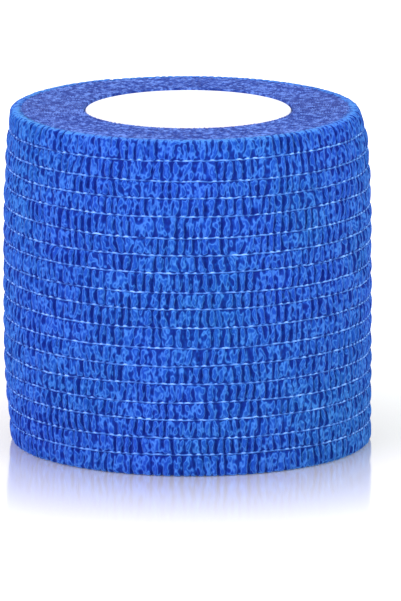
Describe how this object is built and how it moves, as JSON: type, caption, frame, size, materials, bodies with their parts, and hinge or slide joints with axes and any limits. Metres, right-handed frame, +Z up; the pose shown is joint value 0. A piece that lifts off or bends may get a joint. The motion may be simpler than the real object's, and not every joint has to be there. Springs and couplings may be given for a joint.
{
  "type": "cohesive bandage roll",
  "caption": "Roll of blue self-gripping crinkled elastic bandage wound on a thin white tube, for wrapping joints and holding dressings.",
  "frame": {"origin": "middle of the flat end that the roll stands on", "axes": "+Z up along the roll's axis; the outer end of the strip is towards +Y and -X, at the back"},
  "size_m": [0.0542, 0.0539, 0.05],
  "materials": {
    "crepe_cloth": "soft crinkled nonwoven with a matt, slightly fuzzy face",
    "tube_plastic": "plain white, satin"
  },
  "bodies": {
    "root": {"bandage": "crepe_cloth", "core": "tube_plastic"}
  },
  "joints": []
}
